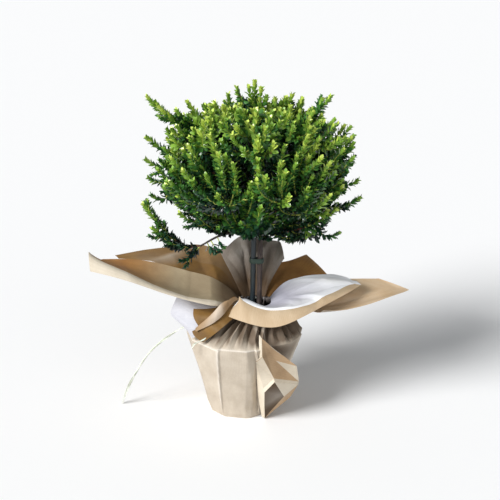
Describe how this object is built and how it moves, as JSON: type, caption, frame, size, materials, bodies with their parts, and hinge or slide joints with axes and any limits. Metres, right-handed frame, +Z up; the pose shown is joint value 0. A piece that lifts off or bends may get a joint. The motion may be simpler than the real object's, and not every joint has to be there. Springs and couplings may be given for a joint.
{
  "type": "potted myrtle shrub",
  "caption": "Small dense evergreen shrub on one staked stem, in a pot wrapped in brown paper that is gathered and tied at the neck and opens into a wide collar.",
  "frame": {"origin": "middle of the wrap's flat underside, straight under the pot's middle", "axes": "+Z up, -Y towards the viewer of the plant's front, +X to that viewer's right"},
  "size_m": [0.4303, 0.268, 0.4617],
  "materials": {
    "foliage": "small glossy leaves",
    "bark": "rough",
    "cane": "stained, matte",
    "plant_tie": "matte",
    "kraft_paper": "creased, matte",
    "raffia": "fibrous",
    "pot_plastic": "matte",
    "potting_soil": "crumbly"
  },
  "bodies": {
    "root": {"trunk": "bark", "bough_lower_1": "bark", "bough_lower_2": "bark", "bough_lower_3": "bark", "bough_lower_4": "bark", "bough_lower_5": "bark", "bough_lower_6": "bark", "bough_middle_1": "bark", "bough_middle_2": "bark", "bough_middle_3": "bark", "bough_middle_4": "bark", "bough_middle_5": "bark", "bough_middle_6": "bark", "bough_upper_1": "bark", "bough_upper_2": "bark", "bough_upper_3": "bark", "bough_upper_4": "bark", "bough_upper_5": "bark", "bough_stray": "bark", "foliage_lower_1": "foliage", "foliage_lower_2": "foliage", "foliage_lower_3": "foliage", "foliage_lower_4": "foliage", "foliage_lower_5": "foliage", "foliage_lower_6": "foliage", "foliage_middle_1": "foliage", "foliage_middle_2": "foliage", "foliage_middle_3": "foliage", "foliage_middle_4": "foliage", "foliage_middle_5": "foliage", "foliage_middle_6": "foliage", "foliage_upper_1": "foliage", "foliage_upper_2": "foliage", "foliage_upper_3": "foliage", "foliage_upper_4": "foliage", "foliage_upper_5": "foliage", "foliage_cap": "foliage", "foliage_stray": "foliage", "stake": "cane", "stake_tie": "plant_tie", "grow_pot": "pot_plastic", "potting_soil": "potting_soil", "wrap_sleeve": "kraft_paper", "gathered_neck": "kraft_paper", "left_wing": "kraft_paper", "right_wing": "kraft_paper", "right_under_sheet": "kraft_paper", "back_left_sheet": "kraft_paper", "back_tissue": "kraft_paper", "back_right_sheet": "kraft_paper", "white_flap": "kraft_paper", "front_tongue": "kraft_paper", "folded_ear": "kraft_paper", "raffia_tie": "raffia", "raffia_tail": "raffia", "raffia_short_end": "raffia"}
  },
  "joints": []
}
